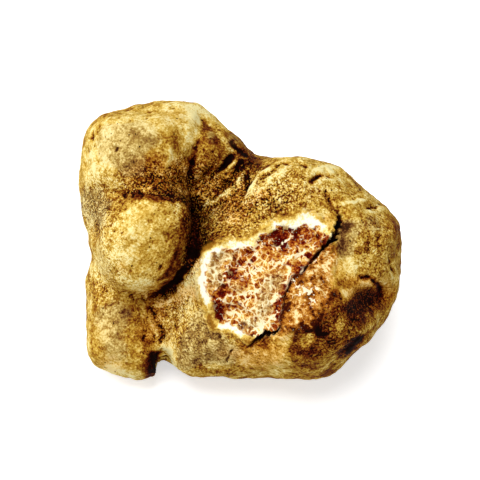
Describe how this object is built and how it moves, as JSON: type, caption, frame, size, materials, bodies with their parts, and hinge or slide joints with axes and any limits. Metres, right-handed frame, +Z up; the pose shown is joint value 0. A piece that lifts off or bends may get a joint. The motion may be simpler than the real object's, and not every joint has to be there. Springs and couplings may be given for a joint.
{
  "type": "white truffle",
  "caption": "Knobbly white truffle with uneven lobes, a deep cleft and a torn patch of skin that shows its marbled flesh.",
  "frame": {"origin": "middle of the bounding box's underside, on the surface the truffle lies on", "axes": "+Z up, +X along the longest extent, from the knobbed lobes to the rounded one, and the broad torn face looks up and towards -Y"},
  "size_m": [0.0583, 0.0497, 0.0397],
  "materials": {
    "truffle_skin": "dry, matt, sandy ochre skin, with marbled pink-brown flesh where it is torn"
  },
  "bodies": {
    "root": {"truffle": "truffle_skin"}
  },
  "joints": []
}
